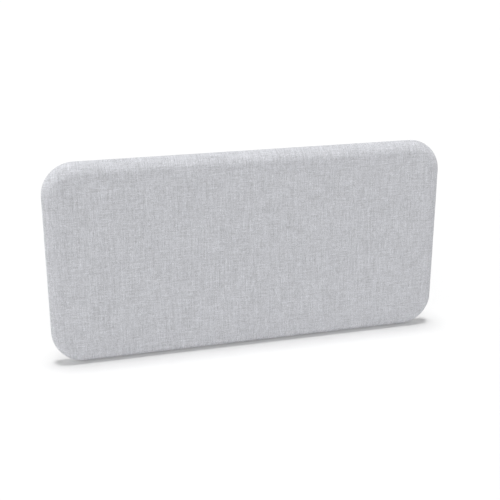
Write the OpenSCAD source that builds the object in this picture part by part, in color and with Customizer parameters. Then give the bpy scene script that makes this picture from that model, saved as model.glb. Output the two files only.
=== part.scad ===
// Upholstered acoustic wall panel that hangs on a wall rail.
// The face looks along -Y, +Z is up, and the wall is the plane Y = 0.
// The origin is midway between the wall rail's outer screw slots, on the wall.

/* [Panel] */
// Width of the finished panel
panel_w = 1200; // [1000:10:1800]
// Height of the finished panel
panel_h = 600; // [500:10:900]
// Depth of the finished panel, from its face to the hem on its back
panel_d = 50; // [48:1:80]
// Radius of the four corners, seen from the front
corner_r = 95; // [75:1:130]
// Radius of the soft edge between the face and the sides
front_edge_r = 35; // [20:1:38]
// Radius of the edge between the sides and the back
back_edge_r = 10; // [8:1:13]

/* [Cover and padding] */
// Thickness of the woven cover
cover_t = 1; // [0.6:0.1:1.4]
// How far the cover's hem reaches in over the back
hem_w = 32; // [28:1:36]
// Thickness of the wadding under the cover
wadding_t = 3; // [2:0.5:5]
// How far short of the frame's back face the wadding is trimmed
wadding_trim = 2; // [1:0.5:4]
// Thickness of the cloth that closes the back
backing_t = 0.6; // [0.4:0.1:0.9]
// Distance from the panel's outline to the edge of that cloth
backing_inset = 20; // [16:1:23]
// Space between two soft layers
layer_gap = 0.3; // [0.2:0.05:0.5]

/* [Staples] */
// Length of a staple's crown
staple_l = 10; // [8:1:12]
// Width of the staple's wire
staple_w = 1.2; // [0.8:0.1:1.6]
// Thickness of the staple's wire
staple_t = 0.6; // [0.4:0.1:0.8]
// Greatest distance from one staple to the next on a straight side
staple_pitch = 75; // [50:1:100]
// Greatest distance from one staple to the next round a corner
corner_staple_pitch = 38; // [30:1:50]

/* [Frame] */
// Thickness of the frame's plywood
frame_t = 15; // [12:1:18]
// Height of the top and bottom rails
rail_w = 70; // [60:1:80]
// Width of the left and right stiles
stile_w = 70; // [60:1:80]
// Width of the centre stile
centre_w = 60; // [50:1:80]
// Radius of the frame's inner corners
inner_r = 30; // [10:1:40]
// Length of the half laps between the rails and the side stiles
lap_l = 50; // [40:1:60]
// Length of the half laps between the rails and the centre stile
centre_lap_l = 40; // [30:1:45]
// Space around the ends and sides of a lap
lap_gap = 0.2; // [0.1:0.05:0.4]
// Distance between the two screws of a lap
lap_screw_pitch = 32; // [24:1:36]

/* [Hanging] */
// Distance from the wall to the cloth on the panel's back
standoff = 6.4; // [6:0.1:8]
// Thickness of the aluminium Z section
section_t = 2; // [1.6:0.1:2.4]
// Height of the section's screwed flange
flange_h = 22; // [20:1:26]
// Height of a hanger's lip, from the seat above it to its tip
lip_h = 14; // [10:1:18]
// Space between the two lips when they are hooked together
lip_gap = 0.4; // [0.2:0.1:0.6]
// How much shorter the wall rail's lip is, so that the hangers' lips take the load
lip_relief = 0.5; // [0.3:0.1:1]
// Bevel along the tip of a lip
lip_bevel = 0.6; // [0.3:0.1:0.9]
// Radius at the free corners of a flange
flange_corner_r = 4; // [2:0.5:6]
// Length of one hanger
hanger_l = 80; // [70:1:120]
// Distance between the middles of the two hangers
hanger_pitch = 660; // [500:10:670]
// Distance from the edge of the hem down to the hangers
hanger_drop = 5; // [3:0.5:8]
// Distance between a hanger's outer screws
hanger_screw_pitch = 56; // [44:1:58]
// Length of the wall rail
wall_rail_l = 800; // [770:10:900]
// Width of the wall rail's screw slots
slot_w = 5; // [4:0.5:6]
// Length of the wall rail's screw slots
slot_l = 14; // [10:1:18]
// Distance between the middles of the outer slots
outer_slot_pitch = 740; // [600:10:740]
// Distance between the middles of the inner slots
inner_slot_pitch = 300; // [200:10:400]

/* [Screws and pads] */
// Radius of a wood screw's shank
screw_r = 1.75; // [1.5:0.05:2]
// Radius of its countersunk head
screw_head_r = 3.6; // [3.2:0.1:4]
// Length of its point
screw_point_l = 3; // [2:0.5:4]
// Wood left in front of a screw's point
screw_cover = 2; // [1:0.5:4]
// Radius of the screwdriver recess
recess_r = 1.2; // [1:0.1:1.4]
// Depth of the screwdriver recess
recess_d = 1.2; // [0.8:0.1:1.6]
// Space between a screw and its hole
screw_gap = 0.05; // [0.02:0.01:0.1]
// Radius of a wall pad
pad_r = 12; // [8:1:16]
// Radius rolled round the wall pad's face
pad_edge_r = 2.5; // [1:0.5:4]
// Distance from the panel's side to a wall pad's middle
pad_side = 120; // [100:1:200]
// Distance from the edge of the hem up to a wall pad
pad_rise = 10; // [5:1:12]

/* [Hidden] */
$fn = 96;
// How far a cut runs past the face that it opens
overrun = 1;

// Heights above the wall, for a panel that lies on its back
wood_back = standoff + backing_t;
lap_level = wood_back + frame_t / 2;
frame_front = wood_back + frame_t;
panel_back = wood_back - cover_t;
panel_front = panel_back + panel_d;

// Places in the panel's plane, from its middle
corner_x = panel_w / 2 - corner_r;
corner_y = panel_h / 2 - corner_r;
core_inset = cover_t + wadding_t + layer_gap;
// Radius milled along the frame's outer back edge, so that it clears the cover's inside
frame_edge_r = back_edge_r - cover_t - wadding_t;
opening_x = panel_w / 2 - core_inset - stile_w;
opening_y = panel_h / 2 - core_inset - rail_w;
lap_end = corner_y - lap_l;
pad_x = panel_w / 2 - pad_side;
pad_y = hem_w + pad_rise + pad_r - panel_h / 2;

// Places of the Z sections up the panel: a hanger's top and seat, and the wall rail's seat
lip_offset = (standoff + lip_gap) / 2;
hanger_top = panel_h / 2 - hem_w - hanger_drop;
hanger_seat = hanger_top - flange_h;
rail_seat = hanger_seat - lip_h;
hanger_screw_y = hanger_seat + (flange_h + section_t) / 2;
rail_screw_y = rail_seat - (flange_h + section_t) / 2;

// Stands what is drawn lying on its back up against the wall
module stand_up() {
    rotate([90, 0, 0]) translate([0, -rail_screw_y, 0]) children();
}

// A piece and its mirror image
module both_sides(across) {
    children();
    mirror(across) children();
}

// A box by its middle and size in the panel's plane, and its two heights
module block(middle, size, low, high) {
    translate([middle.x - size.x / 2, middle.y - size.y / 2, low])
        cube([size.x, size.y, high - low]);
}

// A box with four round upright corners
module round_block(size, r, low, high) {
    block([0, 0], [size.x - 2 * r, size.y], low, high);
    block([0, 0], [size.x, size.y - 2 * r], low, high);
    both_sides([1, 0, 0]) both_sides([0, 1, 0])
        translate([size.x / 2 - r, size.y / 2 - r, low]) cylinder(r = r, h = high - low);
}

// Everything below a height
module below(level) {
    block([0, 0], [panel_w + overrun, panel_h + overrun], -overrun, level);
}

// The part of a square corner that lies outside its round
module corner_waste(r) {
    difference() {
        square(r + overrun);
        circle(r);
    }
}

// Section through a slab's edge: x runs outward from a corner's centre, and y is the height
module edge_section(out, low, high, low_r, high_r) {
    difference() {
        translate([0, low]) square([out, high - low]);
        if (high_r > 0) translate([out - high_r, high - high_r]) corner_waste(high_r);
        if (low_r > 0) translate([out - low_r, low + low_r]) mirror([0, 1]) corner_waste(low_r);
    }
}

// A slab that follows the panel's outline at an inset, with round lower and upper edges
module slab(inset, low, high, low_r = 0, high_r = 0) {
    out = corner_r - inset;
    block([0, 0], 2 * [corner_x, corner_y], low, high);
    both_sides([1, 0, 0]) translate([corner_x, 0, 0]) rotate([90, 0, 0])
        linear_extrude(2 * corner_y, center = true)
            edge_section(out, low, high, low_r, high_r);
    both_sides([0, 1, 0]) translate([0, corner_y, 0]) rotate([90, 0, 90])
        linear_extrude(2 * corner_x, center = true)
            edge_section(out, low, high, low_r, high_r);
    both_sides([1, 0, 0]) both_sides([0, 1, 0]) translate([corner_x, corner_y, 0])
        rotate_extrude(angle = 90) edge_section(out, low, high, low_r, high_r);
}

// A countersunk wood screw that stands on its head, or its hole if there is a gap
module screw_form(length, gap) {
    cylinder(r1 = screw_head_r + gap, r2 = screw_r + gap, h = screw_head_r - screw_r);
    cylinder(r = screw_r + gap, h = length - screw_point_l);
    translate([0, 0, length - screw_point_l])
        cylinder(r1 = screw_r + gap, r2 = gap, h = screw_point_l + gap);
}

module screw(length) {
    difference() {
        screw_form(length, 0);
        translate([0, 0, -overrun]) cylinder(r = recess_r, h = recess_d + overrun, $fn = 6);
    }
}

module screw_hole(length) {
    screw_form(length, screw_gap);
    translate([0, 0, -overrun]) cylinder(r = screw_head_r + screw_gap, h = overrun);
}

// The screws of the frame's laps, as screws or as their holes, sunk in the frame's back
module lap_screws(as_holes) {
    length = frame_t - screw_cover;
    side_lap = [opening_x + stile_w / 2, (corner_y + lap_end) / 2];
    centre_lap = [0, opening_y + centre_lap_l / 2];
    for (lap = [side_lap, centre_lap], step = [-0.5, 0.5])
        both_sides([1, 0, 0]) both_sides([0, 1, 0])
            translate([lap.x + step * lap_screw_pitch, lap.y, wood_back])
                if (as_holes) screw_hole(length);
                else screw(length);
}

// The hangers' screws, as screws or as their holes, sunk in the hangers' flanges
module hanger_screw_set(as_holes) {
    length = section_t + backing_t + frame_t - screw_cover;
    for (side = [-0.5, 0.5], step = [-0.5, 0, 0.5])
        translate([
            side * hanger_pitch + step * hanger_screw_pitch,
            hanger_screw_y,
            standoff - section_t
        ])
            if (as_holes) screw_hole(length);
            else screw(length);
}

// What the absorber and the frame make together, under the wadding
module core() {
    slab(core_inset, wood_back, panel_front - core_inset, frame_edge_r, front_edge_r - core_inset);
}

// The woven cover: face, sides, and a hem that is turned in over the back
module cover_fabric() {
    color([0.75, 0.75, 0.77]) difference() {
        slab(0, panel_back, panel_front, back_edge_r, front_edge_r);
        slab(cover_t, wood_back, panel_front - cover_t,
            back_edge_r - cover_t, front_edge_r - cover_t);
        slab(hem_w, panel_back - overrun, wood_back + overrun);
    }
}

// The wadding: a soft layer over face and sides, feathered where it is trimmed at the back
module wadding() {
    outer = cover_t + layer_gap;
    inner = cover_t + wadding_t;
    color([0.96, 0.96, 0.94]) difference() {
        slab(outer, wood_back, panel_front - outer, back_edge_r - outer, front_edge_r - outer);
        slab(inner, wood_back - layer_gap, panel_front - inner,
            frame_edge_r + layer_gap, front_edge_r - inner);
        below(wood_back + wadding_trim);
    }
}

// The absorber: one slab with a milled front edge, glued to the front of the frame
module absorber_slab() {
    color([0.88, 0.88, 0.84]) difference() {
        core();
        below(frame_front);
    }
}

// The absorber in the right bay of the frame, as thick as the frame
module infill_pad() {
    inner_x = centre_w / 2 + layer_gap;
    outer_x = opening_x - layer_gap;
    outer_y = opening_y - layer_gap;
    color([0.80, 0.81, 0.78]) intersection() {
        round_block(2 * [outer_x, outer_y], inner_r - layer_gap, wood_back, frame_front);
        block([(inner_x + outer_x) / 2, 0], [outer_x - inner_x, 2 * outer_y],
            wood_back, frame_front);
    }
}

// The ring that the rails and side stiles are cut from
module frame_ring() {
    difference() {
        intersection() {
            core();
            below(frame_front);
        }
        round_block(2 * [opening_x, opening_y], inner_r, 0, frame_front + overrun);
    }
}

// The top rail, whose turned-down ends hold the round corners and the laps for the stiles
module end_rail() {
    top = panel_h / 2;
    color([0.80, 0.66, 0.46]) difference() {
        intersection() {
            frame_ring();
            block([0, (lap_end + top) / 2], [panel_w, top - lap_end], 0, frame_front);
        }
        block([0, (lap_end + corner_y) / 2], [panel_w, lap_l], 0, lap_level);
        block([0, opening_y], [centre_w, 2 * centre_lap_l] + 2 * [lap_gap, lap_gap],
            0, lap_level);
        lap_screws(true);
    }
}

// The top rail carries the hangers, so it also has the holes for their screws
module top_rail() {
    color([0.80, 0.66, 0.46]) difference() {
        end_rail();
        hanger_screw_set(true);
    }
}

// The right stile, whose ends lap behind the turned-in ends of both rails
module side_stile() {
    cut_w = stile_w + overrun;
    middle_x = opening_x + cut_w / 2;
    tongue_l = lap_l + lap_gap;
    color([0.80, 0.66, 0.46]) difference() {
        intersection() {
            frame_ring();
            block([middle_x, 0], [cut_w, 2 * (corner_y - lap_gap)], 0, frame_front);
        }
        both_sides([0, 1, 0])
            block([middle_x, corner_y - tongue_l / 2], [cut_w + 2 * overrun, tongue_l],
                lap_level, frame_front + overrun);
        lap_screws(true);
    }
}

// The centre stile, which splits the frame into two bays and laps behind both rails
module centre_stile() {
    color([0.80, 0.66, 0.46]) difference() {
        union() {
            block([0, 0], [centre_w, 2 * (opening_y - lap_gap)], wood_back, frame_front);
            block([0, 0], [centre_w, 2 * (opening_y + centre_lap_l)], wood_back, lap_level);
        }
        lap_screws(true);
    }
}

module frame_screws() {
    color([0.78, 0.76, 0.70]) lap_screws(false);
}

// The backing: a field that lies on the frame, and a rim stepped up on the hem
module backing_cloth() {
    field_inset = hem_w + layer_gap;
    color([0.22, 0.22, 0.24]) difference() {
        union() {
            slab(backing_inset, panel_back - backing_t, panel_back);
            slab(field_inset, panel_back - backing_t, wood_back);
        }
        slab(field_inset + backing_t, panel_back - backing_t - overrun, standoff);
        hanger_screw_set(true);
    }
}

// One staple's crown, flat on the rim of the backing
module staple() {
    level = panel_back - backing_t;
    block([0, 0], [staple_l, staple_w], level - staple_t, level);
}

// The row of staples that holds the backing and the hem to the frame
module staples() {
    line_inset = (backing_inset + hem_w) / 2;
    line_r = corner_r - line_inset;
    x_gaps = ceil(2 * corner_x / staple_pitch);
    y_gaps = ceil(2 * corner_y / staple_pitch);
    corner_gaps = ceil(line_r * PI / 2 / corner_staple_pitch);
    color([0.72, 0.73, 0.75]) {
        both_sides([0, 1, 0]) for (i = [0 : x_gaps])
            translate([corner_x * (2 * i / x_gaps - 1), corner_y + line_r, 0]) staple();
        both_sides([1, 0, 0]) for (i = [0 : y_gaps])
            translate([corner_x + line_r, corner_y * (2 * i / y_gaps - 1), 0])
                rotate(90) staple();
        both_sides([1, 0, 0]) both_sides([0, 1, 0]) for (i = [1 : corner_gaps - 1])
            translate([corner_x, corner_y, 0]) rotate(90 * i / corner_gaps - 90)
                translate([0, line_r, 0]) staple();
    }
}

// Z section: x is the height above the wall, y is up, and the seat is at y = 0
module z_outline(lip) {
    lip_out = lip_offset + section_t;
    polygon([
        [0, -flange_h],
        [section_t, -flange_h],
        [section_t, -section_t],
        [lip_out, -section_t],
        [lip_out, lip],
        [lip_offset + lip_bevel, lip],
        [lip_offset, lip - lip_bevel],
        [lip_offset, 0],
        [0, 0]
    ]);
}

// A length of the section, flange on the wall, with the flange's free corners rounded
module z_section(length, lip) {
    difference() {
        rotate([0, -90, 0]) linear_extrude(length, center = true) z_outline(lip);
        both_sides([1, 0, 0])
            translate([length / 2 - flange_corner_r, flange_corner_r - flange_h, -overrun])
                linear_extrude(section_t + 2 * overrun)
                    mirror([0, 1]) corner_waste(flange_corner_r);
    }
}

// One hanger: the section upside down on the panel's back, hooked behind the rail's lip
module hanger(side) {
    color([0.80, 0.81, 0.83]) difference() {
        translate([side * hanger_pitch / 2, hanger_seat, standoff]) rotate([180, 0, 0])
            z_section(hanger_l, lip_h);
        hanger_screw_set(true);
    }
}

module hanger_screws() {
    color([0.78, 0.76, 0.70]) hanger_screw_set(false);
}

// A screw slot that runs along the wall rail
module slot() {
    run = slot_l - slot_w;
    block([0, 0], [run, slot_w], -overrun, section_t + overrun);
    both_sides([1, 0, 0]) translate([run / 2, 0, -overrun])
        cylinder(r = slot_w / 2, h = section_t + 2 * overrun);
}

// The wall rail: the section the right way up, screwed to the wall
module wall_rail() {
    color([0.80, 0.81, 0.83]) difference() {
        translate([0, rail_seat, 0]) z_section(wall_rail_l, lip_h - lip_relief);
        for (pitch = [outer_slot_pitch, inner_slot_pitch], side = [-0.5, 0.5])
            translate([side * pitch, rail_screw_y, 0]) slot();
    }
}

// A soft pad that holds the foot of the panel off the wall
module wall_pad(side) {
    color([0.25, 0.25, 0.26]) translate([side * pad_x, pad_y, standoff]) mirror([0, 0, 1])
        rotate_extrude() edge_section(pad_r, 0, standoff, 0, pad_edge_r);
}

stand_up() cover_fabric();
stand_up() wadding();
stand_up() absorber_slab();
stand_up() mirror([1, 0, 0]) infill_pad();  // left_infill_pad
stand_up() infill_pad();  // right_infill_pad
stand_up() top_rail();
stand_up() mirror([0, 1, 0]) end_rail();  // bottom_rail
stand_up() mirror([1, 0, 0]) side_stile();  // left_stile
stand_up() side_stile();  // right_stile
stand_up() centre_stile();
stand_up() frame_screws();
stand_up() backing_cloth();
stand_up() staples();
stand_up() hanger(-1);  // left_hanger
stand_up() hanger(1);  // right_hanger
stand_up() hanger_screws();
stand_up() wall_pad(-1);  // left_wall_pad
stand_up() wall_pad(1);  // right_wall_pad
stand_up() wall_rail();
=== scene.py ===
import math

import bmesh
import bpy
import numpy as np
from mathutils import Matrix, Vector


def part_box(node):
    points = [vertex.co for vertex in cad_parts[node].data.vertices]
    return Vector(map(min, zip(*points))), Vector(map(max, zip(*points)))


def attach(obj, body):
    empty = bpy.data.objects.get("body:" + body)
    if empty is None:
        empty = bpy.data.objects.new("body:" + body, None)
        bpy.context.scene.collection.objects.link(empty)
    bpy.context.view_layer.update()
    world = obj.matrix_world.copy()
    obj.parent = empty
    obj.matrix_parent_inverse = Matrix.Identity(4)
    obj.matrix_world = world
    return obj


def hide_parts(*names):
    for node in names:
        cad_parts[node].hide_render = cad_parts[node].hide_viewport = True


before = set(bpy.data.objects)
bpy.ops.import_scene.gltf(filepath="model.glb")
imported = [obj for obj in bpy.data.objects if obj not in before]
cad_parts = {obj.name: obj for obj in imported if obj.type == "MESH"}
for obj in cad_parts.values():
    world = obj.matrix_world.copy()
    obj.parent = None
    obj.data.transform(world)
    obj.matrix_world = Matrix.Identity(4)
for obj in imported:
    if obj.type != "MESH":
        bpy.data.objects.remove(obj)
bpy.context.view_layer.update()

# The panel's sizes that its box doesn't give, in metres
CORNER_R = 0.095
FRONT_R = 0.035
BACK_R = 0.010
COVER_T = 0.001
HEM_W = 0.032
LAYER_GAP = 0.0003
WADDING_T = 0.003
WADDING_TRIM = 0.002
FRAME_EDGE_R = 0.006
BACKING_T = 0.0006
BACKING_INSET = 0.020
STAPLE_PITCH = 0.075
CORNER_STAPLE_PITCH = 0.038
BAY_R = 0.030

# The panel's places in the frame
panel_low, panel_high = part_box("cover_fabric")
HALF_W = (panel_high.x - panel_low.x) / 2
HALF_H = (panel_high.z - panel_low.z) / 2
MIDDLE_Z = (panel_high.z + panel_low.z) / 2
FRONT_Y = panel_low.y
HEM_Y = panel_high.y
DEPTH = HEM_Y - FRONT_Y
WOOD_Y = HEM_Y - COVER_T
FRAME_FRONT_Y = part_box("top_rail")[0].y
FLOOR_Z = panel_low.z

# How finely the meshes are divided: lengths in metres, and counts of steps
COVER_STEP = 0.0065
BORDER_STEP = 0.004
FELT_STEP = 0.010
BACKING_STEP = 0.008
BACKING_BORDER_STEP = 0.002
FRONT_STEPS = 14
BACK_STEPS = 8
HEM_STEPS = 12
BAY_STEPS = 8
SOFT_EDGE_STEPS = 3

# Below these, a length counts as zero, and a direction as straight out from a side
NO_LENGTH = 1e-9
NO_TURN = 1e-6


# Layers that follow the panel

def lines_across(half, insets, step):
    """Places from one side to the other: at the insets near both sides, and evenly spaced between."""
    inner = half - insets[-1]
    even = np.linspace(-inner, inner, max(2, round(2 * inner / step)) + 1)
    sides = half - np.array(insets[:-1])
    return np.concatenate([-sides, even, sides[::-1]])


def bend_corners(x, z, half_w, half_h, r):
    """Bends a grid's square corners to radius r, so that its outer lines become rings."""
    u = np.abs(x) - (half_w - r)
    v = np.abs(z) - (half_h - r)
    in_corner = (u > 0) & (v > 0)
    ring = np.maximum(u, v)
    share = np.minimum(u, v) / np.maximum(ring, NO_LENGTH)
    angle = np.where(u >= v, share, 2 - share) * math.pi / 4
    new_x = np.where(in_corner, half_w - r + ring * np.cos(angle), np.abs(x))
    new_z = np.where(in_corner, half_h - r + ring * np.sin(angle), np.abs(z))
    return np.sign(x) * new_x, np.sign(z) * new_z


class Layer:
    """A sheet over the panel: a grid across the face, bent at the corners, and rings down its edge.

    It holds for each point its place (x across, y depth behind the layer's face, z up from the middle),
    its direction out from the panel's middle, its distance along the cloth from the grid's even part,
    and its inset from the panel's outline."""

    def __init__(self, inset, front_r, edge, step=COVER_STEP, border_step=BORDER_STEP):
        self.inset = inset
        self.r = CORNER_R - inset
        self.half_w = HALF_W - inset
        self.half_h = HALF_H - inset
        turns = np.radians(np.linspace(90, 0, FRONT_STEPS + 1)) if front_r else np.array([0.0])
        round_insets = front_r * (1 - np.sin(turns))
        flat_insets = np.arange(front_r + border_step, self.r - border_step / 2, border_step)
        insets = [*round_insets, *flat_insets, self.r]
        xs = lines_across(self.half_w, insets, step)
        zs = lines_across(self.half_h, insets, step)
        self.columns, self.rows = len(xs), len(zs)
        x, z = np.meshgrid(xs, zs)
        x, z = bend_corners(x.ravel(), z.ravel(), self.half_w, self.half_h, self.r)
        base_x, base_z, out_x, out_z, reach = self.outward(x, z)
        inward = np.clip(front_r - (self.r - reach), 0, front_r)
        turn = np.arcsin(inward / front_r) if front_r else np.zeros_like(inward)
        depth = front_r * (1 - np.cos(turn))
        along = np.where(inward > 0, self.r - front_r + front_r * turn, reach)
        self.count_face = len(x)
        parts = [(base_x, base_z, out_x, out_z, reach, depth, along)]
        loop = self.loop()
        start = self.r - front_r + front_r * math.pi / 2
        for ring_inset, ring_depth, length in edge:
            ones = np.ones(len(loop))
            parts.append((
                base_x[loop], base_z[loop], out_x[loop], out_z[loop],
                ones * (self.r - ring_inset), ones * ring_depth, ones * (start + length)
            ))
        joined = [np.concatenate(column) for column in zip(*parts)]
        self.base_x, self.base_z, self.out_x, self.out_z, reach, self.y, along = joined
        self.x = self.base_x + self.out_x * reach
        self.z = self.base_z + self.out_z * reach
        self.flat_x = self.base_x + self.out_x * along
        self.flat_z = self.base_z + self.out_z * along
        self.insets = CORNER_R - reach
        self.along = along
        self.rings = len(edge)

    def outward(self, x, z):
        """Each point's nearest place on the inner rectangle, its direction out from there, and its reach."""
        base_x = np.clip(x, self.r - self.half_w, self.half_w - self.r)
        base_z = np.clip(z, self.r - self.half_h, self.half_h - self.r)
        reach = np.hypot(x - base_x, z - base_z)
        safe = np.maximum(reach, NO_LENGTH)
        return base_x, base_z, (x - base_x) / safe, (z - base_z) / safe, reach

    def grid(self):
        """The numbers of the face's points, row by row."""
        return np.arange(self.columns * self.rows).reshape(self.rows, self.columns)

    def loop(self):
        """The grid's outline points in order, counterclockwise as seen from the room."""
        grid = self.grid()
        return np.concatenate([grid[0, :-1], grid[:-1, -1], grid[-1, :0:-1], grid[:0:-1, 0]])

    def faces(self):
        """Quads over the grid and down the rings, facing out."""
        grid = self.grid()
        quads = [np.stack([grid[:-1, :-1], grid[:-1, 1:], grid[1:, 1:], grid[1:, :-1]], -1).reshape(-1, 4)]
        ring = self.loop()
        for number in range(self.rings):
            after = self.count_face + number * len(ring) + np.arange(len(ring))
            before = ring if number == 0 else after - len(ring)
            quads.append(np.stack([before, after, np.roll(after, -1), np.roll(before, -1)], -1))
        return np.concatenate(quads)

    def corner_turn(self):
        """How far each point lies round its corner, from 0 to 1, and 0 or 1 along the sides."""
        return np.arctan2(np.abs(self.out_z), np.abs(self.out_x)) / (math.pi / 2)

    def in_corner(self):
        """Whether each point lies round a corner, between the sides that meet there."""
        return (np.abs(self.out_x) > NO_TURN) & (np.abs(self.out_z) > NO_TURN)

    def build(self, name, front_y):
        """The mesh object, with the cloth's flat places as its UV map, in metres."""
        points = np.stack([self.x, front_y + self.y, MIDDLE_Z + self.z], -1)
        mesh = bpy.data.meshes.new(name)
        faces = self.faces()
        mesh.from_pydata(points.tolist(), [], faces.tolist())
        mesh.shade_smooth()
        flat = np.stack([self.flat_x, self.flat_z], -1)
        mesh.uv_layers.new(name="cloth").uv.foreach_set("vector", flat[faces.ravel()].ravel())
        return place_in_scene(name, mesh)

    def flat_size(self):
        """Width and height of the flat cut, and its area with the corners rounded."""
        r = self.along.max()
        width = 2 * (self.half_w - self.r + r)
        height = 2 * (self.half_h - self.r + r)
        return (width, height), width * height - (4 - math.pi) * r * r


def place_in_scene(name, data):
    """A new object of the scene, made from a mesh, camera or lamp."""
    made = bpy.data.objects.new(name, data)
    bpy.context.scene.collection.objects.link(made)
    return made


def edge_rings(front_r, side_end, back_r=0.0, hem_end=0.0):
    """Rings down a side: (inset from the layer's outline, depth, length along the cloth)."""
    side_l = side_end - front_r
    rings = [(0, front_r + side_l * t, side_l * t) for t in (0.5, 1)]
    for turn in np.radians(np.linspace(0, 90, BACK_STEPS + 1))[1:] if back_r else []:
        rings.append(back_ring(turn, side_end, side_l, back_r))
    hem_start = side_l + back_r * math.pi / 2
    for inset in np.linspace(back_r, hem_end, HEM_STEPS + 1)[1:] if hem_end else []:
        rings.append((inset, side_end + back_r, hem_start + inset - back_r))
    return rings


def back_ring(turn, side_end, side_l, back_r):
    """One ring of the round between side and back, at an angle from the side."""
    return back_r * (1 - math.cos(turn)), side_end + back_r * math.sin(turn), side_l + back_r * turn


def smooth(x, start, end):
    """0 before start, 1 after end, and a smooth rise between."""
    t = np.clip((x - start) / (end - start), 0, 1)
    return t * t * (3 - 2 * t)


def thicken(piece, thickness):
    """Gives a sheet its thickness, inward from its shown side."""
    solid = piece.modifiers.new("thickness", "SOLIDIFY")
    solid.thickness = thickness
    solid.offset = -1
    return piece


# The waves summed for a soft unevenness: how many, their lengths as shares of the one asked for, and phases
WAVES = 7
WAVE_SHARES = (0.7, 1.6)
WAVE_PHASES = (0, 6.3)


def waves(x, z, seed, length):
    """A soft, even unevenness from -1 to 1, made of waves about one length long."""
    rng = np.random.default_rng(seed)
    total = np.zeros_like(x)
    for _ in range(WAVES):
        heading = rng.uniform(0, 2 * math.pi)
        turns = 2 * math.pi / (length * rng.uniform(*WAVE_SHARES))
        total += np.sin((x * math.cos(heading) + z * math.sin(heading)) * turns + rng.uniform(*WAVE_PHASES))
    return total / WAVES


# The soft pieces, in metres

# The face sinks over this width, from a little way out on the round edge
FACE_SINK = 0.0006
FACE_SINK_W = 0.014
FACE_SINK_LEAD = 0.003
FACE_WAVE = 0.0002
FACE_WAVE_L = 0.22
FACE_WAVE_FADE = 0.06
FACE_WAVE_SEED = 3

# A pleat rises over this share of its width and folds back over the rest
PLEATS = 9
PLEAT_H = 0.0018
PLEAT_CREST = 0.72

# Insets at which the pleats begin and are full, and distances before the backing where it presses them flat
PLEAT_START = 0.001
PLEAT_FULL = 0.012
PRESS_START = 0.005
PRESS_END = 0.001

# The backing's step from the hem down to the frame, its slack between staples, and its ripple
STEP_W = 0.004
PUCKER = 0.00035
RIPPLE = 0.00018
RIPPLE_L = 0.09
RIPPLE_FADE = 0.05
RIPPLE_SEED = 11

# Distances from the hangers and wall pads at which the backing is still held flat, and free to ripple
HELD_W = 0.010
FREE_W = 0.045

# Bevel that softens the infill's cut edges
INFILL_SOFTNESS = 0.0012


def settle(layer):
    """Lets a layer's face sink a little inside its round edge, and makes it softly uneven."""
    in_front = layer.y < FRONT_R - layer.inset
    sink_start = FRONT_R - FACE_SINK_LEAD
    sunk = smooth(layer.insets, sink_start, sink_start + FACE_SINK_W)
    inside = smooth(layer.insets, FRONT_R, FRONT_R + FACE_WAVE_FADE)
    uneven = waves(layer.x, layer.z, FACE_WAVE_SEED, FACE_WAVE_L) * inside
    layer.y = layer.y + (FACE_SINK * sunk + FACE_WAVE * uneven) * in_front


def pleats(layer):
    """Height of the small pleats that take up the hem's fullness round each corner."""
    here = layer.corner_turn() * PLEATS % 1
    ridge = smooth(here, 0, PLEAT_CREST) * (1 - smooth(here, PLEAT_CREST, 1))
    on_hem = smooth(layer.y, DEPTH - BACK_R, DEPTH) * smooth(layer.insets, PLEAT_START, PLEAT_FULL)
    pressed = smooth(layer.insets, BACKING_INSET - PRESS_START, BACKING_INSET - PRESS_END)
    return np.where(layer.in_corner(), PLEAT_H * ridge * on_hem * (1 - pressed), 0)


def make_cover():
    """The woven cover, with its soft face, and its hem pleated round the corners at the back."""
    layer = Layer(0, FRONT_R, edge_rings(FRONT_R, DEPTH - BACK_R, BACK_R, HEM_W))
    settle(layer)
    layer.y = layer.y + pleats(layer)
    piece = thicken(layer.build("cover_cloth", FRONT_Y), COVER_T)
    flat, area = layer.flat_size()
    return piece, flat, area


def feathered(turn, back_r):
    """Thickness of the wadding round the back edge, where it narrows between the cover and the frame."""
    gap_r = FRAME_EDGE_R + LAYER_GAP
    aside = LAYER_GAP
    behind = back_r - gap_r + LAYER_GAP
    straight = (back_r - WADDING_T + LAYER_GAP) / np.cos(turn)
    lean = aside * np.cos(turn) - behind * np.sin(turn)
    round_edge = np.sqrt(lean ** 2 + gap_r ** 2 - aside ** 2 - behind ** 2) - lean
    return back_r - np.where(straight * np.sin(turn) < behind, straight, round_edge)


def make_wadding():
    """The wadding under the cover, feathered where it is trimmed at the back."""
    inset = COVER_T + LAYER_GAP
    front_r = FRONT_R - inset
    back_r = BACK_R - inset
    round_start = DEPTH - COVER_T - inset - back_r
    rings = edge_rings(front_r, round_start)
    last_turn = math.asin((back_r - WADDING_TRIM) / back_r)
    for turn in np.linspace(0, last_turn, BACK_STEPS + 1)[1:]:
        rings.append(back_ring(turn, round_start, round_start - front_r, back_r))
    layer = Layer(inset, front_r, rings, step=FELT_STEP)
    turn = np.arcsin(np.clip((layer.y - round_start) / back_r, 0, 1))
    share = feathered(turn, back_r) / (WADDING_T - LAYER_GAP)
    settle(layer)
    piece = layer.build("wadding_layer", FRONT_Y + inset)
    group = piece.vertex_groups.new(name="thickness")
    for value in np.unique(share):
        group.add(np.flatnonzero(share == value).tolist(), float(value), "REPLACE")
    thicken(piece, WADDING_T - LAYER_GAP).modifiers["thickness"].vertex_group = "thickness"
    flat, area = layer.flat_size()
    return piece, flat, area


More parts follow.
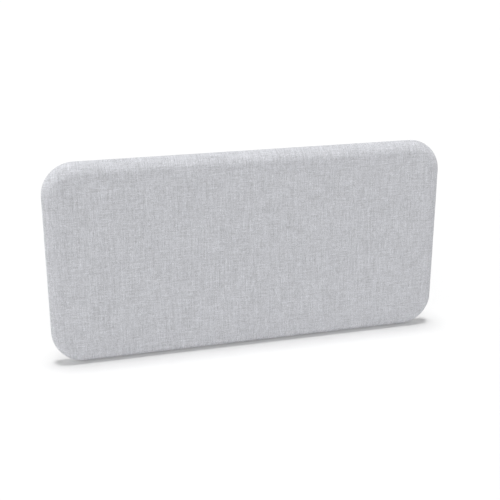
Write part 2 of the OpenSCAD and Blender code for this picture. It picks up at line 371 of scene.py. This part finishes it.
def slack_between_staples(layer):
    """0 at each staple of the row round the back, and 1 midway from one staple to the next."""
    line_r = CORNER_R - (BACKING_INSET + HEM_W) / 2
    side_w = 2 * (HALF_W - CORNER_R)
    side_h = 2 * (HALF_H - CORNER_R)
    x_pitch = side_w / math.ceil(side_w / STAPLE_PITCH)
    z_pitch = side_h / math.ceil(side_h / STAPLE_PITCH)
    corner_gaps = math.ceil(line_r * math.pi / 2 / CORNER_STAPLE_PITCH)
    up_side = (layer.base_z + side_h / 2) / z_pitch
    across_side = (layer.base_x + side_w / 2) / x_pitch
    side_phase = np.where(np.abs(layer.out_x) > np.abs(layer.out_z), up_side, across_side)
    phase = np.where(layer.in_corner(), layer.corner_turn() * corner_gaps, side_phase)
    return (1 - np.cos(2 * math.pi * phase)) / 2


def away_from_fittings(layer):
    """0 beside the hangers and wall pads, which hold the backing flat, and 1 away from them."""
    free = np.ones_like(layer.x)
    for node in ("left_hanger", "right_hanger", "left_wall_pad", "right_wall_pad"):
        low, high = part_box(node)
        beside_x = np.maximum(low.x - layer.x, layer.x - high.x)
        beside_z = np.maximum(low.z - MIDDLE_Z - layer.z, layer.z + MIDDLE_Z - high.z)
        away = np.hypot(np.maximum(beside_x, 0), np.maximum(beside_z, 0))
        free = free * smooth(away, HELD_W, FREE_W)
    return free


def make_backing():
    """The dark cloth on the back: a rim on the hem, pulled down at the staples, and a field on the frame."""
    layer = Layer(BACKING_INSET, 0, [], step=BACKING_STEP, border_step=BACKING_BORDER_STEP)
    step_down = COVER_T * smooth(layer.insets, HEM_W, HEM_W + STEP_W)
    on_rim = 1 - smooth(layer.insets, HEM_W - STEP_W, HEM_W)
    pucker = PUCKER * slack_between_staples(layer) * on_rim
    field = smooth(layer.insets, HEM_W + STEP_W, HEM_W + RIPPLE_FADE) * away_from_fittings(layer)
    ripple = RIPPLE * (1 + waves(layer.x, layer.z, RIPPLE_SEED, RIPPLE_L)) * field
    layer.y = pucker + ripple - step_down
    piece = layer.build("backing_sheet", HEM_Y + BACKING_T)
    piece.data.flip_normals()
    thicken(piece, BACKING_T)
    flat, area = layer.flat_size()
    return piece, flat, area


def make_absorber():
    """The felt slab in front of the frame, closed at the back."""
    inset = COVER_T + WADDING_T + LAYER_GAP
    front_y = FRONT_Y + inset
    layer = Layer(inset, FRONT_R - inset, [], step=FELT_STEP)
    settle(layer)
    layer.y = np.minimum(layer.y, FRAME_FRONT_Y - front_y)
    piece = layer.build("absorber_felt", front_y)
    close_back(piece)
    return piece


def close_back(piece):
    """Closes a layer's open edge with one flat face."""
    shape = bmesh.new()
    shape.from_mesh(piece.data)
    bmesh.ops.holes_fill(shape, edges=[e for e in shape.edges if e.is_boundary], sides=0)
    bmesh.ops.recalc_face_normals(shape, faces=shape.faces)
    shape.to_mesh(piece.data)
    shape.free()


def bay_outline(node):
    """The outline of the infill in a bay: straight beside the centre stile, and round at its far corners."""
    low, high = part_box(node)
    near, far = sorted((abs(low.x), abs(high.x)))
    half_h = (high.z - low.z) / 2
    r = BAY_R - LAYER_GAP
    outline = [(near, -half_h)]
    for middle_z, start in ((r - half_h, -90), (half_h - r, 0)):
        for turn in np.radians(np.linspace(start, start + 90, BAY_STEPS + 1)):
            outline.append((far - r + r * math.cos(turn), middle_z + r * math.sin(turn)))
    outline.append((near, half_h))
    return outline


def make_infill(name, node, side):
    """The felt in one bay of the frame, with its cut edges a little soft."""
    low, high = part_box(node)
    # Where the outline is mirrored it also runs the other way, so that the faces still point out
    outline = bay_outline(node)[::side]
    count = len(outline)
    points = [(side * x, y, MIDDLE_Z + z) for y in (low.y, high.y) for x, z in outline]
    faces = [range(count), range(2 * count - 1, count - 1, -1)]
    for first in range(count):
        second = (first + 1) % count
        faces.append((second, first, count + first, count + second))
    mesh = bpy.data.meshes.new(name)
    mesh.from_pydata(points, [], faces)
    piece = place_in_scene(name, mesh)
    soften = piece.modifiers.new("soft edges", "BEVEL")
    soften.width = INFILL_SOFTNESS
    soften.segments = SOFT_EDGE_STEPS
    soften.limit_method = "ANGLE"
    return piece


# Materials

# The middle of a noise or a tone, which go from 0 to 1, and the usual stops of two colours in it
MIDDLE = 0.5
SOFT_STOPS = (0.3, 0.7)


class Tree:
    """A node tree, with short calls that add and join nodes."""

    def __init__(self, tree):
        self.nodes = tree.nodes
        self.links = tree.links

    def add(self, kind, values=None, **settings):
        """A new node. Values go by input name or number, and a value that is a socket is joined."""
        node = self.nodes.new("ShaderNode" + kind)
        for name, value in settings.items():
            setattr(node, name, value)
        for name, value in (values or {}).items():
            if isinstance(value, bpy.types.NodeSocket):
                self.links.new(value, node.inputs[name])
            else:
                node.inputs[name].default_value = value
        return node

    def feed(self, name, socket):
        """Joins a socket to an input of the material's shader."""
        self.links.new(socket, self.nodes["Principled BSDF"].inputs[name])

    def maths(self, operation, a, b=0.0, c=0.0):
        return self.add("Math", {0: a, 1: b, 2: c}, operation=operation).outputs[0]

    def choose(self, choice, first, second):
        """The first value where the choice is 0, and the second where it is 1."""
        return self.add("Mix", {0: choice, 2: first, 3: second}).outputs[0]

    def blend(self, a, b, share):
        """A share of a, and the rest of b."""
        return self.maths("MULTIPLY_ADD", a, share, self.maths("MULTIPLY", b, 1 - share))

    def remap(self, value, start, end, low, high):
        """Turns a value from start to end into one from low to high."""
        return self.add("MapRange", {0: value, 1: start, 2: end, 3: low, 4: high}).outputs[0]

    def vector(self, x, y):
        return self.add("CombineXYZ", {0: x, 1: y}).outputs[0]

    def parts(self, vector):
        return self.add("SeparateXYZ", {0: vector}).outputs

    def scaled(self, vector, scale):
        return self.add("VectorMath", {0: vector, 1: scale}, operation="MULTIPLY").outputs[0]

    def noise(self, vector, scale=1.0, detail=2.0, roughness=0.5, **settings):
        values = {"Vector": vector, "Scale": scale, "Detail": detail, "Roughness": roughness}
        return self.add("TexNoise", values, **settings).outputs[0]

    def ramp(self, factor, stops, colours):
        """A colour that passes through each of the colours at its stop, from 0 to 1."""
        node = self.add("ValToRGB", {0: factor})
        elements = node.color_ramp.elements
        while len(elements) < len(stops):
            elements.new(MIDDLE)
        for element, stop, colour in zip(elements, stops, colours):
            element.position = stop
            element.color = (*colour, 1)
        return node.outputs[0]

    def bump(self, height, distance):
        """A normal for a relief whose height from 0 to 1 is a distance in metres."""
        return self.add("Bump", {"Height": height, "Distance": distance}).outputs[0]

    def place(self):
        """The place on the object, in metres."""
        return self.add("TexCoord").outputs["Object"]

    def cloth_place(self):
        """The place on the cloth as it lay flat, in metres."""
        return self.add("UVMap", uv_map="cloth").outputs[0]


def new_material(name, values):
    """A material with the constants of its shader set, and its tree."""
    material = bpy.data.materials.new(name)
    material.use_nodes = True
    shader = material.node_tree.nodes["Principled BSDF"]
    for socket, value in values.items():
        shader.inputs[socket].default_value = value
    return material, Tree(material.node_tree)


def tint(colour, share):
    """A colour made lighter or darker by a share."""
    return tuple(min(1, c * (1 + share)) for c in colour)


# The cover's cloth: its mean colour, how far its darkest and lightest yarns depart from it, and their stops
CLOTH = (0.564, 0.570, 0.598)
CONTRAST = 0.61
CLOTH_STOPS = (0.25, 0.5, 0.75)

# Its yarns, and the light and dark marks on them, in metres
YARN_PITCH = 0.0011
MARK_W = 0.0014
WARP_MARK_L = 0.12
WEFT_MARK_L = 0.08
WEFT_SEED = 700.0

# The yarns wander within about this width, over this length
WANDER = 0.0016
WANDER_L = 0.005

# Patches where the marks of warp or weft show more: noise in the first range gives the warp this strength
PATCH_SIZE = 0.030
PATCH_NOISE = (0.35, 0.65)
WARP_STRENGTH = (0.85, 1.25)

# Painted shade in the gaps between yarns, lighter where a yarn passes over another, and the mean of that
# knuckle's height
KNUCKLE_PAINTED_SHADE = 0.16
MEAN_KNUCKLE = (2 / math.pi) ** 2

# Fibres along each yarn, slanted by its twist, in metres
FIBRE_W = 0.00016
FIBRE_L = 0.0018
FIBRE_SHADE = 0.3
FIBRE_RELIEF = 0.5
TWIST = 0.5
WEAVE_RELIEF = 0.00006


def wander(tree, flat):
    """The place on the flat cloth, moved a little to and fro, so that no yarn is ruler straight."""
    values = {"Vector": flat, "Scale": 1 / WANDER_L, "Detail": 1.0}
    noise = tree.add("TexNoise", values, noise_dimensions="2D")
    values = {0: noise.outputs["Color"], 1: (WANDER, WANDER, 0), 2: flat}
    return tree.add("VectorMath", values, operation="MULTIPLY_ADD").outputs[0]


def yarn_tone(tree, number, along, seed, strength):
    """The tone of one yarn, from 0 to 1, which drifts along its length and resembles its neighbours'."""
    place = tree.vector(tree.maths("MULTIPLY_ADD", number, YARN_PITCH / MARK_W, seed), along)
    drift = tree.noise(place, detail=5.0, roughness=1.0, noise_dimensions="2D")
    return tree.maths("MULTIPLY_ADD", tree.maths("SUBTRACT", drift, MIDDLE), strength, MIDDLE)


def crest(tree, way):
    """Height of the yarns as rounded ridges, side by side along one way of the cloth."""
    within = tree.maths("FRACT", tree.maths("DIVIDE", way, YARN_PITCH))
    return tree.maths("SINE", tree.maths("MULTIPLY", within, math.pi))


def woven_cloth():
    """Plain weave of mottled yarn, whose tones make short light and dark marks both ways."""
    material, tree = new_material("mottled_weave", {
        "Roughness": 0.95,
        "Specular IOR Level": 0.15,
        "Sheen Weight": 0.12,
        "Sheen Roughness": 0.5,
    })
    flat = tree.cloth_place()
    u, v, _ = tree.parts(wander(tree, flat))
    warp_number = tree.maths("FLOOR", tree.maths("DIVIDE", u, YARN_PITCH))
    weft_number = tree.maths("FLOOR", tree.maths("DIVIDE", v, YARN_PITCH))
    patches = tree.noise(flat, scale=1 / PATCH_SIZE, detail=1.0, noise_dimensions="2D")
    warp_strength = tree.remap(patches, *PATCH_NOISE, *WARP_STRENGTH)
    weft_strength = tree.maths("SUBTRACT", 2.0, warp_strength)
    warp_tone = yarn_tone(tree, warp_number, tree.maths("DIVIDE", v, WARP_MARK_L), 0.0, warp_strength)
    weft_tone = yarn_tone(tree, weft_number, tree.maths("DIVIDE", u, WEFT_MARK_L), WEFT_SEED, weft_strength)
    warp_over = tree.maths("FLOORED_MODULO", tree.maths("ADD", warp_number, weft_number), 2.0)
    along = tree.choose(warp_over, u, v)
    across = tree.choose(warp_over, v, u)
    across_crest = crest(tree, across)
    knuckle = tree.maths("MULTIPLY", crest(tree, along), across_crest)
    slanted = tree.maths("DIVIDE", tree.maths("MULTIPLY_ADD", along, TWIST, across), FIBRE_W)
    fibre_place = tree.vector(slanted, tree.maths("DIVIDE", along, FIBRE_L))
    fibres = tree.noise(fibre_place, detail=1.0, noise_dimensions="2D")
    tone = tree.choose(warp_over, weft_tone, warp_tone)
    # Painted shade: the tone is darker in the gaps between yarns and lighter on the knuckles where they cross
    tone = tree.maths("MULTIPLY_ADD", tree.maths("SUBTRACT", knuckle, MEAN_KNUCKLE), KNUCKLE_PAINTED_SHADE, tone)
    tone = tree.maths("MULTIPLY_ADD", tree.maths("SUBTRACT", fibres, MIDDLE), FIBRE_SHADE, tone)
    colours = (tint(CLOTH, -CONTRAST), CLOTH, tint(CLOTH, CONTRAST))
    tree.feed("Base Color", tree.ramp(tone, CLOTH_STOPS, colours))
    height = tree.maths("ADD", knuckle, tree.maths("MULTIPLY_ADD", fibres, FIBRE_RELIEF, across_crest))
    tree.feed("Normal", tree.bump(height, WEAVE_RELIEF))
    return material


# The backing: fibres and clouds per metre, the fibres' share in its tone, and its bonded points
BACKING_COLOURS = ((0.022, 0.022, 0.025), (0.062, 0.062, 0.067))
BACKING_FIBRES = 900.0
BACKING_CLOUDS = 70.0
BACKING_FIBRE_SHARE = 0.7
POINTS = 600.0
POINT_DISORDER = 0.15
POINT_REACH = 0.35
POINT_SOFTNESS = 0.1
POINT_RELIEF = 0.0002


def backing_material():
    """Black spunbonded cloth with small bonded points."""
    material, tree = new_material("spunbond", {
        "Roughness": 0.85,
        "Specular IOR Level": 0.3,
        "Sheen Weight": 0.15,
    })
    place = tree.cloth_place()
    fibres = tree.noise(place, scale=BACKING_FIBRES, detail=4.0, roughness=0.7)
    clouds = tree.noise(place, scale=BACKING_CLOUDS, detail=4.0)
    mixed = tree.blend(fibres, clouds, BACKING_FIBRE_SHARE)
    tree.feed("Base Color", tree.ramp(mixed, SOFT_STOPS, BACKING_COLOURS))
    values = {"Vector": place, "Scale": POINTS, "Randomness": POINT_DISORDER}
    points = tree.add("TexVoronoi", values).outputs["Distance"]
    dents = tree.maths("SMOOTH_MIN", points, POINT_REACH, POINT_SOFTNESS)
    tree.feed("Normal", tree.bump(dents, POINT_RELIEF))
    return material


# Felt and wadding: their colours and fibres per metre, how many fibres wide a cloud is, and the fibres' share
# in the tone
FELT_COLOURS = ((0.60, 0.60, 0.56), (0.74, 0.74, 0.70))
FELT_FIBRES = 400.0
WADDING_COLOURS = ((0.80, 0.80, 0.77), (0.90, 0.90, 0.88))
WADDING_FIBRES = 250.0
CLOUD_FIBRES = 20
FELT_FIBRE_SHARE = 0.6
FELT_STOPS = (0.35, 0.65)
FELT_RELIEF = 0.0006


def felt_material(name, colours, density):
    """Matted fibres, lighter and darker in soft clouds."""
    material, tree = new_material(name, {
        "Roughness": 1.0,
        "Specular IOR Level": 0.1,
        "Sheen Weight": 0.3,
    })
    place = tree.place()
    fibres = tree.noise(place, scale=density, detail=5.0, roughness=0.75)
    clouds = tree.noise(place, scale=density / CLOUD_FIBRES, detail=2.0)
    mixed = tree.blend(fibres, clouds, FELT_FIBRE_SHARE)
    tree.feed("Base Color", tree.ramp(mixed, FELT_STOPS, colours))
    tree.feed("Normal", tree.bump(fibres, FELT_RELIEF))
    return material


# Plywood: its plies, its grain per metre along and across, its colours, how plies and grain shade its edges,
# and the part of a normal along y above which a surface is a face and not an edge
PLIES = 11
GRAIN_ALONG = 4.0
GRAIN_ACROSS = 90.0
GRAIN_STOPS = (0.3, 0.55, 0.8)
GRAIN_COLOURS = ((0.52, 0.34, 0.18), (0.66, 0.47, 0.27), (0.72, 0.54, 0.34))
PLY_STOPS = (0.1, 0.7)
PLY_COLOURS = ((0.36, 0.22, 0.11), (0.70, 0.52, 0.31))
PLY_SHADE = 0.45
PLY_GRAIN_SHADE = 0.4
FACE_FACING = 0.7
GRAIN_RELIEF = 0.0002


def plywood_material(name, grain_scale):
    """Birch plywood: grain along one axis on its faces, and plies on its edges."""
    material, tree = new_material(name, {"Roughness": 0.62, "Specular IOR Level": 0.35})
    place = tree.place()
    grain = tree.noise(tree.scaled(place, grain_scale), detail=5.0, roughness=0.65)
    face = tree.ramp(grain, GRAIN_STOPS, GRAIN_COLOURS)
    ply_t = (WOOD_Y - FRAME_FRONT_Y) / PLIES
    ply = tree.maths("FLOOR", tree.maths("DIVIDE", tree.parts(place)[1], ply_t))
    turned = tree.maths("FLOORED_MODULO", ply, 2.0)
    edge_tone = tree.maths("MULTIPLY_ADD", turned, PLY_SHADE, tree.maths("MULTIPLY", grain, PLY_GRAIN_SHADE))
    edge = tree.ramp(edge_tone, PLY_STOPS, PLY_COLOURS)
    normal = tree.parts(tree.add("NewGeometry").outputs["Normal"])[1]
    on_face = tree.maths("GREATER_THAN", tree.maths("ABSOLUTE", normal), FACE_FACING)
    mixed = tree.add("Mix", {0: on_face, 6: edge, 7: face}, data_type="RGBA").outputs[2]
    tree.feed("Base Color", mixed)
    tree.feed("Normal", tree.bump(grain, GRAIN_RELIEF))
    return material


# Bare metal: colours, lines or grains per metre each way, and the depth of that texture
ALUMINIUM = (0.55, 0.56, 0.57)
DRAWN_LINES = (4.0, 600.0, 600.0)
DRAWN_RELIEF = 0.00002
ZINC = (0.60, 0.60, 0.59)
PLATED_GRAINS = (900.0, 900.0, 900.0)
PLATED_RELIEF = 0.00001
METAL_CLOUDS = 35.0
METAL_DARKER = -0.07
METAL_LIGHTER = 0.05
METAL_ROUGHNESS = 0.34
METAL_ROUGHNESS_SPREAD = 0.16


def metal_material(name, colour, density, relief):
    """Bare metal with drawn or plated texture, stretched along x where it is drawn."""
    material, tree = new_material(name, {"Metallic": 1.0})
    place = tree.place()
    lines = tree.noise(tree.scaled(place, density), detail=4.0, roughness=0.6)
    clouds = tree.noise(place, scale=METAL_CLOUDS, detail=3.0)
    colours = (tint(colour, METAL_DARKER), tint(colour, METAL_LIGHTER))
    tree.feed("Base Color", tree.ramp(clouds, SOFT_STOPS, colours))
    smoothest = METAL_ROUGHNESS - METAL_ROUGHNESS_SPREAD / 2
    tree.feed("Roughness", tree.maths("MULTIPLY_ADD", lines, METAL_ROUGHNESS_SPREAD, smoothest))
    tree.feed("Normal", tree.bump(lines, relief))
    return material


# Rubber: its colours, its grains and clouds per metre, and its roughness
RUBBER_COLOURS = ((0.035, 0.035, 0.037), (0.055, 0.055, 0.058))
RUBBER_GRAINS = 1800.0
RUBBER_CLOUDS = 120.0
RUBBER_SMOOTHEST = 0.55
RUBBER_ROUGHNESS_SPREAD = 0.2
RUBBER_RELIEF = 0.00008


def rubber_material():
    """Moulded rubber with a fine matt grain."""
    material, tree = new_material("moulded_rubber", {"Specular IOR Level": 0.4})
    place = tree.place()
    grain = tree.noise(place, scale=RUBBER_GRAINS, detail=3.0)
    clouds = tree.noise(place, scale=RUBBER_CLOUDS, detail=2.0)
    tree.feed("Base Color", tree.ramp(clouds, SOFT_STOPS, RUBBER_COLOURS))
    tree.feed("Roughness", tree.maths("MULTIPLY_ADD", clouds, RUBBER_ROUGHNESS_SPREAD, RUBBER_SMOOTHEST))
    tree.feed("Normal", tree.bump(grain, RUBBER_RELIEF))
    return material


def dress(piece, material):
    """Gives a piece its one material."""
    piece.data.materials.clear()
    piece.data.materials.append(material)


# Camera, light and floor

# The lens and sensor in millimetres, and how far the camera sees, in metres
LENS = 67.895
SENSOR = 36.0
FARTHEST = 100

# The camera's direction, its distance, and the point on the face that it looks at
TILT = math.radians(19.217)
YAW = math.radians(15.655)
DISTANCE = 2.7939
AIM_RIGHTWARD = -0.0089
AIM_UPWARD = 0.3077
AIM = Vector((AIM_RIGHTWARD, FRONT_Y, FLOOR_Z + AIM_UPWARD))


def make_camera():
    """The photograph's view: from the left of the panel and above it."""
    forward = Vector((math.sin(YAW) * math.cos(TILT), math.cos(YAW) * math.cos(TILT), -math.sin(TILT)))
    data = bpy.data.cameras.new("view")
    data.lens = LENS
    data.sensor_width = SENSOR
    data.clip_end = FARTHEST
    camera = place_in_scene("view", data)
    camera.location = AIM - forward * DISTANCE
    camera.rotation_mode = "QUATERNION"
    camera.rotation_quaternion = forward.to_track_quat("-Z", "Y")
    bpy.context.scene.camera = camera


# The surround's strength, how it changes to the right, to the back and upward, and what the camera sees of it
SKY = 1.418
SKY_RIGHTWARD = -0.32
SKY_BACKWARD = 0.025
SKY_UPWARD = -1.52
BACKDROP = 1.2

# The lamp's strength and the width of its light
OVERHEAD = 0.845
OVERHEAD_ANGLE = math.radians(20)

# The floor's half width in metres, its colour, and the glow that keeps it white
FLOOR_HALF = 30.0
FLOOR_COLOUR = (0.722, 0.722, 0.722, 1)
FLOOR_GLOW = 0.123
WHITE = (1, 1, 1, 1)


def make_light():
    """A pale surround, brightest low down and to the left, and one soft lamp straight overhead."""
    world = bpy.data.worlds.new("studio")
    world.use_nodes = True
    bpy.context.scene.world = world
    tree = Tree(world.node_tree)
    background = world.node_tree.nodes["Background"]
    x, y, z = tree.parts(tree.add("TexCoord").outputs["Generated"])
    glow = tree.maths("MULTIPLY_ADD", z, SKY_UPWARD, SKY)
    glow = tree.maths("MULTIPLY_ADD", y, SKY_BACKWARD, glow)
    glow = tree.maths("MAXIMUM", tree.maths("MULTIPLY_ADD", x, SKY_RIGHTWARD, glow), 0.0)
    seen = tree.add("LightPath").outputs["Is Camera Ray"]
    tree.links.new(tree.choose(seen, glow, BACKDROP), background.inputs["Strength"])
    background.inputs["Color"].default_value = WHITE
    lamp = bpy.data.lights.new("overhead", "SUN")
    lamp.energy = math.pi * OVERHEAD
    lamp.angle = OVERHEAD_ANGLE
    place_in_scene("overhead", lamp)


def make_floor():
    """A plain white floor under the panel's lowest line."""
    mesh = bpy.data.meshes.new("floor")
    corners = [(x * FLOOR_HALF, y * FLOOR_HALF, FLOOR_Z) for x, y in ((-1, -1), (1, -1), (1, 1), (-1, 1))]
    mesh.from_pydata(corners, [], [(0, 1, 2, 3)])
    floor = place_in_scene("floor", mesh)
    material, _ = new_material("pale_floor", {
        "Base Color": FLOOR_COLOUR,
        "Emission Color": WHITE,
        "Emission Strength": FLOOR_GLOW,
        "Roughness": 1.0,
        "Specular IOR Level": 0.0,
    })
    dress(floor, material)


# The panel put together

make_camera()
make_light()
make_floor()

cover, cover_flat, cover_area = make_cover()
dress(cover, woven_cloth())
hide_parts("cover_fabric")
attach(cover, "panel")

wadding, wadding_flat, wadding_area = make_wadding()
dress(wadding, felt_material("white_wadding", WADDING_COLOURS, WADDING_FIBRES))
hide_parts("wadding")
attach(wadding, "panel")

backing, backing_flat, backing_area = make_backing()
dress(backing, backing_material())
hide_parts("backing_cloth")
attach(backing, "panel")

felt = felt_material("grey_felt", FELT_COLOURS, FELT_FIBRES)
BAYS = (
    ("left_infill_felt", "left_infill_pad", -1),
    ("right_infill_felt", "right_infill_pad", 1),
)
for name, node, side in BAYS:
    infill = make_infill(name, node, side)
    dress(infill, felt)
    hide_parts(node)
    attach(infill, "panel")

absorber = make_absorber()
dress(absorber, felt)
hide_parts("absorber_slab")
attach(absorber, "panel")

rail_wood = plywood_material("plywood_level", (GRAIN_ALONG, GRAIN_ACROSS, GRAIN_ACROSS))
stile_wood = plywood_material("plywood_upright", (GRAIN_ACROSS, GRAIN_ACROSS, GRAIN_ALONG))
aluminium = metal_material("drawn_aluminium", ALUMINIUM, DRAWN_LINES, DRAWN_RELIEF)
zinc = metal_material("zinc_plate", ZINC, PLATED_GRAINS, PLATED_RELIEF)
rubber = rubber_material()
FINISHES = {
    "top_rail": rail_wood,
    "bottom_rail": rail_wood,
    "left_stile": stile_wood,
    "right_stile": stile_wood,
    "centre_stile": stile_wood,
    "frame_screws": zinc,
    "hanger_screws": zinc,
    "staples": zinc,
    "left_hanger": aluminium,
    "right_hanger": aluminium,
    "wall_rail": aluminium,
    "left_wall_pad": rubber,
    "right_wall_pad": rubber,
}
for node, finish in FINISHES.items():
    dress(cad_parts[node], finish)

bpy.context.scene.view_settings.view_transform = "Standard"
